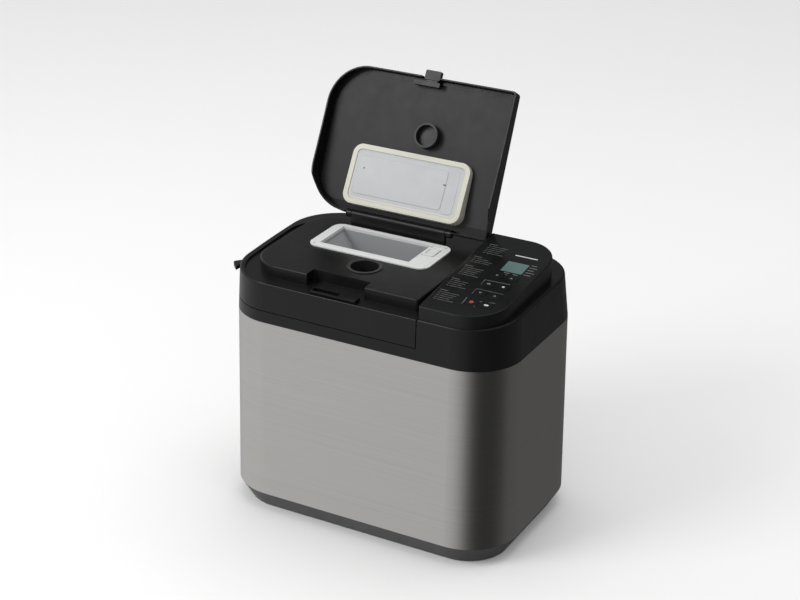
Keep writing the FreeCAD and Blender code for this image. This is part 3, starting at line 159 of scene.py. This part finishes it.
def plastic_with_painted_shade(name, painted_shade_colour, upper_colour, level):
    """Plastic with painted shade: a greyer, darker colour under a level of the row frame than above it."""
    m = Maker(name)
    m.constant(Roughness=0.38, IOR=1.5)
    m.link(m.blend(m.below(level, 0.4 * MM), upper_colour, painted_shade_colour), m.shader.inputs["Base Color"])
    m.link(m.bump(m.noise(2600.0, 2.0, 0.6), 0.12, 0.05 * MM, m.soft_edges(0.4 * MM)),
           m.shader.inputs["Normal"])
    return m.material


def metal(name, colour, roughness, grain=0.1, grain_size=0.6):
    m = Maker(name)
    m.constant(Metallic=1.0)
    m.link(m.blend(m.spread(m.noise(30.0), 0, 1), shade(colour, 0.93), shade(colour, 1.05)),
           m.shader.inputs["Base Color"])
    m.link(m.spread(m.noise(90.0, 4.0), roughness - 0.06, roughness + 0.06), m.shader.inputs["Roughness"])
    fine = m.noise(1.0 / (grain_size * MM), 3.0)
    m.link(m.bump(fine, grain, 0.03 * MM, m.soft_edges(0.3 * MM)), m.shader.inputs["Normal"])
    return m.material


def ink(name, colour):
    """Screen-printed ink, slightly uneven."""
    m = Maker(name)
    m.constant(Roughness=0.55, IOR=1.45)
    m.link(m.blend(m.spread(m.noise(900.0, 2.0), 0, 1), shade(colour, 0.8), colour),
           m.shader.inputs["Base Color"])
    return m.material


FLANGE = 4.0 * MM
HOPPER_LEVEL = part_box("raisin_hopper")[1][2] - FLANGE
MATERIALS = {
    "black_plastic": plastic("black_plastic", (0.0065, 0.0065, 0.0068), 0.34, specular=0.27),
    "lid_gloss": plastic("lid_gloss", (0.006, 0.006, 0.0063), 0.28, grain=0.05, specular=0.27),
    "lid_inner_plastic": plastic("lid_inner_plastic", (0.015, 0.015, 0.0155), 0.42, grain=0.2, specular=0.35),
    "panel_gloss": plastic("panel_gloss", (0.0065, 0.0070, 0.0070), 0.22, grain=0.03, grain_size=0.8,
                           specular=0.3),
    "display_glass": plastic("display_glass", (0.085, 0.145, 0.135), 0.18, grain=0.02),
    "display_body": plastic("display_body", (0.12, 0.15, 0.15), 0.5),
    "brushed_steel": brushed("brushed_steel", (0.50, 0.49, 0.475), 0.30),
    "plinth_plastic": plastic("plinth_plastic", (0.042, 0.042, 0.043), 0.45),
    "foot_rubber": plastic("foot_rubber", (0.03, 0.03, 0.03), 0.8, grain=0.3, grain_size=0.8),
    # white_plastic carries painted shade: half as bright under the hopper's flange, where its walls sink into
    # the recess.
    "white_plastic": plastic_with_painted_shade("white_plastic", (0.33, 0.335, 0.345), (0.66, 0.67, 0.66), HOPPER_LEVEL),
    "hopper_grey": plastic("hopper_grey", (0.44, 0.45, 0.46), 0.42, vary=0.03),
    "gasket_silicone": plastic("gasket_silicone", (0.60, 0.59, 0.51), 0.55, vary=0.03),
    "cup_black": plastic("cup_black", (0.014, 0.014, 0.014), 0.30),
    "circuit_board": plastic("circuit_board", (0.02, 0.14, 0.06), 0.35),
    "plain_steel": metal("plain_steel", (0.55, 0.55, 0.55), 0.35),
    "chamber_steel": metal("chamber_steel", (0.42, 0.42, 0.41), 0.42),
    "cast_aluminium": metal("cast_aluminium", (0.60, 0.60, 0.60), 0.45, grain=0.25),
    "bronze": metal("bronze", (0.55, 0.38, 0.18), 0.4),
    "motor_paint": plastic("motor_paint", (0.05, 0.05, 0.055), 0.4),
    "belt_rubber": plastic("belt_rubber", (0.02, 0.02, 0.02), 0.75, grain=0.3),
    "pan_coating": metal("pan_coating", (0.10, 0.10, 0.11), 0.45, grain=0.3),
    "handle_wire": metal("handle_wire", (0.62, 0.62, 0.62), 0.22),
    "ink_faint": ink("ink_faint", (0.085, 0.085, 0.085)),
    "ink_pale": ink("ink_pale", (0.17, 0.17, 0.17)),
    "ink_white": ink("ink_white", (0.60, 0.62, 0.60)),
    "ink_red": ink("ink_red", (0.34, 0.05, 0.035)),
}

for part in frame["record"]["subparts"]:
    node = NODES[part["node"]]
    node.data.materials.clear()
    node.data.materials.append(MATERIALS[part["material_slot"]])


# ---------------------------------------------------------------- shapes for the added pieces
def add_mesh(name, points, faces, material, body):
    mesh = bpy.data.meshes.new(name)
    mesh.from_pydata(points, [], faces)
    mesh.update()
    made = bpy.data.objects.new(name, mesh)
    bpy.context.scene.collection.objects.link(made)
    made.data.materials.append(MATERIALS[material])
    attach(made, body)
    return made


def add_loop(name, points, radius, material, body):
    """A closed bead along a line of points."""
    curve = bpy.data.curves.new(name, "CURVE")
    curve.dimensions = "3D"
    curve.bevel_depth = radius
    curve.bevel_resolution = 4
    spline = curve.splines.new("POLY")
    spline.points.add(len(points) - 1)
    for place, point in zip(spline.points, points):
        place.co = (*point, 1)
    spline.use_cyclic_u = True
    made = bpy.data.objects.new(name, curve)
    bpy.context.scene.collection.objects.link(made)
    curve.materials.append(MATERIALS[material])
    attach(made, body)
    return made


def rounded_rectangle(left, right, low, high, radius, steps=8):
    """Corner-rounded outline in millimetres, counter-clockwise."""
    points = []
    corners = ((right, low, -90), (right, high, 0), (left, high, 90), (left, low, 180))
    for x, y, start in corners:
        cx = x - radius if x == right else x + radius
        cy = y - radius if y == high else y + radius
        for i in range(steps + 1):
            angle = math.radians(start + 90 * i / steps)
            points.append((cx + radius * math.cos(angle), cy + radius * math.sin(angle)))
    return points


def prism(outline, place, low, high):
    """Points and faces of a flat-topped prism; place maps x, y, height to the row frame."""
    count = len(outline)
    points = [place(x, y, h) for h in (low, high) for x, y in outline]
    sides = [(i, (i + 1) % count, count + (i + 1) % count, count + i) for i in range(count)]
    return points, [tuple(reversed(range(count))), tuple(range(count, 2 * count)), *sides]


def gather(solids):
    """Several sets of points and faces as one."""
    points, faces = [], []
    for some_points, some_faces in solids:
        offset = len(points)
        points += some_points
        faces += [tuple(i + offset for i in face) for face in some_faces]
    return points, faces


def bar(x0, y0, x1, y1, width):
    """Outline of a straight stroke between two points."""
    length = math.hypot(x1 - x0, y1 - y0)
    ax, ay = (x1 - x0) / length, (y1 - y0) / length
    nx, ny = -ay * width / 2, ax * width / 2
    ex, ey = ax * width / 2, ay * width / 2
    return [(x0 - ex - nx, y0 - ey - ny), (x1 + ex - nx, y1 + ey - ny), (x1 + ex + nx, y1 + ey + ny),
            (x0 - ex + nx, y0 - ey + ny)]


def disc(x, y, radius, steps=20):
    turns = [2 * math.pi * i / steps for i in range(steps)]
    return [(x + radius * math.cos(t), y + radius * math.sin(t)) for t in turns]


# ---------------------------------------------------------------- prints on the sloped panel
PANEL_LOW, PANEL_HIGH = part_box("control_panel")
OVERLAY = 1.2 * MM
SLOPE = (PANEL_HIGH[2] - PANEL_LOW[2] - OVERLAY) / (PANEL_HIGH[1] - PANEL_LOW[1])
UPWARD = Vector((0, -SLOPE, 1)).normalized()


def on_panel(x, y, height):
    """A point above the panel, from millimetres in plan and above the surface."""
    level = PANEL_HIGH[2] + SLOPE * (y * MM - PANEL_HIGH[1])
    return Vector((x * MM, y * MM, level)) + UPWARD * (height * MM)


def print_on_panel(name, outlines, material, body="root", lift=0.01):
    solids = [prism(outline, on_panel, lift, lift + 0.03) for outline in outlines]
    add_mesh(name, *gather(solids), material, body)


def caption_rows():
    """Groups of plain dashes where the panel carries its printed list."""
    groups = ((50, 6, 96), (15, 4, 92), (-9, 6, 91.5), (-44, 5, 91), (-74, 6, 91))
    outlines = []
    for top, count, left in groups:
        outlines.append(bar(left, top, left + 9, top, 1.5))
        for i in range(1, count):
            y = top - 4.4 * i
            reach = 13 + (7 * i + 3 * count) % 9
            outlines.append(bar(left + 1, y, left + 3, y, 1.1))
            outlines.append(bar(left + 5.5, y, left + 5.5 + 0.45 * reach, y, 1.1))
            outlines.append(bar(left + 7.5 + 0.45 * reach, y, left + 6 + reach, y, 1.1))
    return outlines


def make_panel_prints():
    print_on_panel("caption_bars", caption_rows(), "ink_faint")
    strokes = [
        ((130.5, -21.4), (130.7, -10.9), (153.8, -11.3)),
        ((130.0, -45.0), (129.2, -32.4), (162.0, -31.0)),
        ((129.5, -68.0), (129.8, -55.3), (164.5, -55.4)),
        ((129.0, -93.4), (128.2, -78.7)),
        ((145.1, -93.8), (145.4, -81.3), (164.8, -77.8)),
    ]
    lines = []
    for stroke in strokes:
        for (x0, y0), (x1, y1) in zip(stroke, stroke[1:]):
            lines.append(bar(x0, y0, x1, y1, 0.7))
    print_on_panel("key_brackets", lines, "ink_pale")
    ticks = [bar(167, 21 - 6 * i, 173 + (3 * i) % 5, 21 - 6 * i, 1.2) for i in range(5)]
    ticks += [bar(143, -7, 149, -7, 1.2), bar(155, -7.5, 160, -7.5, 1.2)]
    print_on_panel("display_ticks", ticks, "ink_pale")
    print_on_panel("panel_accent", [bar(138, 37, 166, 37, 2.0)], "ink_white")


KEY_PROUD = 0.42


def make_key_prints():
    """One small sign on each key cap, riding on the cap."""
    down = [(-2.2, 1.4), (0, -1.8), (2.2, 1.4)]
    up = [(2.2, -1.4), (0, 1.8), (-2.2, -1.4)]
    loaf = rounded_rectangle(-2.4, 2.4, -1.5, 1.5, 1.2, 4)
    shades = rounded_rectangle(-1.5, 1.5, -1.5, 1.5, 0.7, 4)
    signs = {
        "menu_key_down": (down, "ink_pale"), "menu_key_up": (up, "ink_pale"),
        "size_key": (loaf, "ink_pale"), "crust_key": (shades, "ink_white"),
        "timer_key_down": (down, "ink_pale"), "timer_key_up": (up, "ink_pale"),
        "stop_key": (disc(0, 0, 2.9), "ink_red"),
        "start_key": (rounded_rectangle(-3, 3, -1.6, 1.6, 1.5, 4), "ink_white"),
    }
    for key, (outline, material) in signs.items():
        low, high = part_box(key)
        x, y = (low[0] + high[0]) / 2 / MM, (low[1] + high[1]) / 2 / MM - 0.6
        moved = [(x + dx, y + dy) for dx, dy in outline]
        print_on_panel(f"{key}_sign", [moved], material, f"{key}_cap", KEY_PROUD)


# ---------------------------------------------------------------- details inside the open lid
JOINTS = {joint["name"]: joint for joint in frame["record"]["behaviour"]["joints"]}
LID_HINGE = JOINTS["dispenser_lid_hinge"]
PIVOT = Vector(LID_HINGE["pos_m"])
OPENED = Matrix.Rotation(-math.radians(LID_HINGE["range_deg"][1]), 4, "X")
TRAY_LOW, TRAY_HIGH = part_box("raisin_hopper")
TRAY = [TRAY_LOW[0] / MM, TRAY_HIGH[0] / MM, TRAY_LOW[1] / MM, TRAY_HIGH[1] / MM]
TRAY_TOP = TRAY_HIGH[2] / MM


def in_lid(x, y, height):
    """A point under the shut lid, height measured down from the hopper's flange, swung open."""
    shut = Vector((x * MM, y * MM, (TRAY_TOP + height) * MM))
    return PIVOT + OPENED @ (shut - PIVOT)


def inset_tray(amount, radius):
    left, right, low, high = TRAY
    return rounded_rectangle(left + amount, right - amount, low + amount, high - amount, radius)


OUTER_BEAD = {"radius": 1.9, "height": 2.05, "inset": 2.6}
INNER_BEAD = {"radius": 1.9, "height": 3.25, "inset": 8.6}


def make_seal():
    """Two beads of the seal, clear of the flange and slide when shut, and the panels of the cover."""
    outer = [in_lid(x, y, OUTER_BEAD["height"]) for x, y in inset_tray(OUTER_BEAD["inset"], 11.5)]
    add_loop("seal_outer_bead", outer, OUTER_BEAD["radius"] * MM, "gasket_silicone", "dispenser_lid_body")
    inner = [in_lid(x, y, INNER_BEAD["height"]) for x, y in inset_tray(INNER_BEAD["inset"], 7.0)]
    add_loop("seal_inner_bead", inner, INNER_BEAD["radius"] * MM, "gasket_silicone", "dispenser_lid_body")
    left, right, low, high = TRAY
    plate = rounded_rectangle(left + 12, right - 30, low + 14.5, high - 14.5, 4.0)
    solids = [prism(plate, in_lid, 0.9, 2.2)]
    narrow = rounded_rectangle(right - 28.5, right - 13, low + 12.5, high - 11, 4.0)
    solids.append(prism(narrow, in_lid, 1.2, 2.2))
    cover = add_mesh("cover_panels", *gather(solids), "hopper_grey", "dispenser_lid_body")
    round_edges(cover, 0.35)
    catch = rounded_rectangle(right - 33.5, right - 29.5, low + 32, low + 33.6, 0.6, 3)
    marks = [prism(disc(left + 21.5, low + 31.5, 1.1), in_lid, 0.84, 1.0), prism(catch, in_lid, 0.84, 1.0)]
    add_mesh("cover_marks", *gather(marks), "motor_paint", "dispenser_lid_body")


def round_edges(target, radius):
    bevel = target.modifiers.new("rounding", "BEVEL")
    bevel.width = radius * MM
    bevel.segments = 2
    bevel.limit_method = "ANGLE"
    for face in target.data.polygons:
        face.use_smooth = False


def make_tray_lines():
    """Raised bead on the hopper's flange, and two small dark discs on it as painted shade of two tiny
    recesses.
    """
    ridge = [Vector((x * MM, y * MM, (TRAY_TOP - 0.35) * MM)) for x, y in inset_tray(4.6, 9.5)]
    add_loop("flange_bead", ridge, 0.45 * MM, "white_plastic", "main_lid")
    left, right, low, high = TRAY

    def on_tray(x, y, height):
        return Vector((x * MM, y * MM, (TRAY_TOP + height) * MM))
    # Two dark discs, sunk almost flush: painted shade standing in for two tiny recesses in the flange.
    marks = [prism(disc(left + 8.3, low + 6.5, 1.0), on_tray, -0.5, 0.05),
             prism(disc(right - 8.3, high - 7.5, 1.0), on_tray, -0.5, 0.05)]
    add_mesh("flange_painted_recess_shade", *gather(marks), "motor_paint", "main_lid")


make_panel_prints()
make_key_prints()
make_seal()
make_tray_lines()


# ---------------------------------------------------------------- floor, lights, camera
def make_floor():
    mesh = bpy.data.meshes.new("floor")
    half = 12.0
    mesh.from_pydata([(-half, -half, 0), (half, -half, 0), (half, half, 0), (-half, half, 0)], [],
                     [(0, 1, 2, 3)])
    floor = bpy.data.objects.new("floor", mesh)
    bpy.context.scene.collection.objects.link(floor)
    m = Maker("floor_paint")
    m.constant(Roughness=0.9)
    m.link(m.blend(m.spread(m.noise(0.6), 0, 1), (0.89, 0.89, 0.89), (0.91, 0.91, 0.91)),
           m.shader.inputs["Base Color"])
    floor.data.materials.append(m.material)
    floor.visible_glossy = False


class Sky:
    """Studio surroundings: white to the camera, bright front left, dark front right."""

    def __init__(self):
        world = bpy.data.worlds.new("studio")
        bpy.context.scene.world = world
        world.use_nodes = True
        self.tree = world.node_tree
        self.direction = self.tree.nodes.new("ShaderNodeTexCoord").outputs["Generated"]
        self.rays = self.tree.nodes.new("ShaderNodeLightPath")

    def lobe(self, direction, start, end, low, high):
        """A smooth rise of brightness towards one direction."""
        dot = self.tree.nodes.new("ShaderNodeVectorMath")
        dot.operation = "DOT_PRODUCT"
        self.tree.links.new(self.direction, dot.inputs[0])
        dot.inputs[1].default_value = Vector(direction).normalized()
        ramp = self.tree.nodes.new("ShaderNodeMapRange")
        ramp.interpolation_type = "SMOOTHSTEP"
        for name, value in (("From Min", start), ("From Max", end), ("To Min", low), ("To Max", high)):
            ramp.inputs[name].default_value = value
        self.tree.links.new(dot.outputs["Value"], ramp.inputs["Value"])
        return ramp.outputs["Result"]

    def math(self, operation, first, second):
        made = self.tree.nodes.new("ShaderNodeMath")
        made.operation = operation
        self.tree.links.new(first, made.inputs[0])
        if isinstance(second, float):
            made.inputs[1].default_value = second
        else:
            self.tree.links.new(second, made.inputs[1])
        return made.outputs["Value"]

    def switch(self, ray, usual, special):
        """One brightness for a kind of ray, the usual one for all others."""
        mix = self.tree.nodes.new("ShaderNodeMix")
        self.tree.links.new(self.rays.outputs[ray], mix.inputs["Factor"])
        self.tree.links.new(usual, mix.inputs["A"])
        mix.inputs["B"].default_value = special
        return mix.outputs["Result"]

    def finish(self, mirrored, ambient, seen):
        """Mirrored surroundings, plus even ambient light and an even brightness for the camera."""
        strength = self.switch("Is Camera Ray", self.switch("Is Diffuse Ray", mirrored, ambient), seen)
        background = self.tree.nodes["Background"]
        background.inputs["Color"].default_value = (1, 1, 1, 1)
        self.tree.links.new(strength, background.inputs["Strength"])


def make_world():
    sky = Sky()
    key = sky.lobe((-0.90, -0.43, -0.1), -0.3, 1.0, 0.13, 0.80)
    shadow = sky.lobe((0.85, -0.50, -0.25), 0.55, 1.0, 1.0, 0.30)
    sky.finish(sky.math("MULTIPLY", key, shadow), 0.80, 1.0)


def area_light(name, place, target, width, height, power):
    data = bpy.data.lights.new(name, "AREA")
    data.shape = "RECTANGLE"
    data.size, data.size_y = width, height
    data.energy = power
    light = bpy.data.objects.new(name, data)
    light.location = place
    aim = Vector(target) - Vector(place)
    light.rotation_euler = aim.to_track_quat("-Z", "Y").to_euler()
    bpy.context.scene.collection.objects.link(light)
    return light


def make_camera():
    """Long lens from the front right, a little above, turned by a fraction of a degree."""
    azimuth, elevation, roll = (math.radians(a) for a in (28.17, 24.45, 0.78))
    back = Vector((math.sin(azimuth) * math.cos(elevation), -math.cos(azimuth) * math.cos(elevation),
                   math.sin(elevation)))
    right = Vector((math.cos(azimuth), math.sin(azimuth), 0))
    up = back.cross(right)
    across = math.cos(roll) * right + math.sin(roll) * up
    upward = -math.sin(roll) * right + math.cos(roll) * up
    data = bpy.data.cameras.new("camera")
    data.sensor_width = 36.0
    data.lens = 84.42
    data.clip_start, data.clip_end = 0.05, 60.0
    camera = bpy.data.objects.new("camera", data)
    turn = Matrix((across, upward, back)).transposed().to_4x4()
    camera.matrix_world = Matrix.Translation((1.0192, -1.9113, 1.2650)) @ turn
    bpy.context.scene.collection.objects.link(camera)
    bpy.context.scene.camera = camera


make_floor()
make_world()
area_light("key", (-1.5, -1.9, 2.3), (0, 0, 0.2), 1.3, 1.3, 34)
area_light("top", (0.1, 0.5, 2.4), (0, 0, 0.2), 1.6, 1.6, 10)
make_camera()
bpy.context.scene.view_settings.view_transform = "Standard"

bpy.context.view_layer.update()
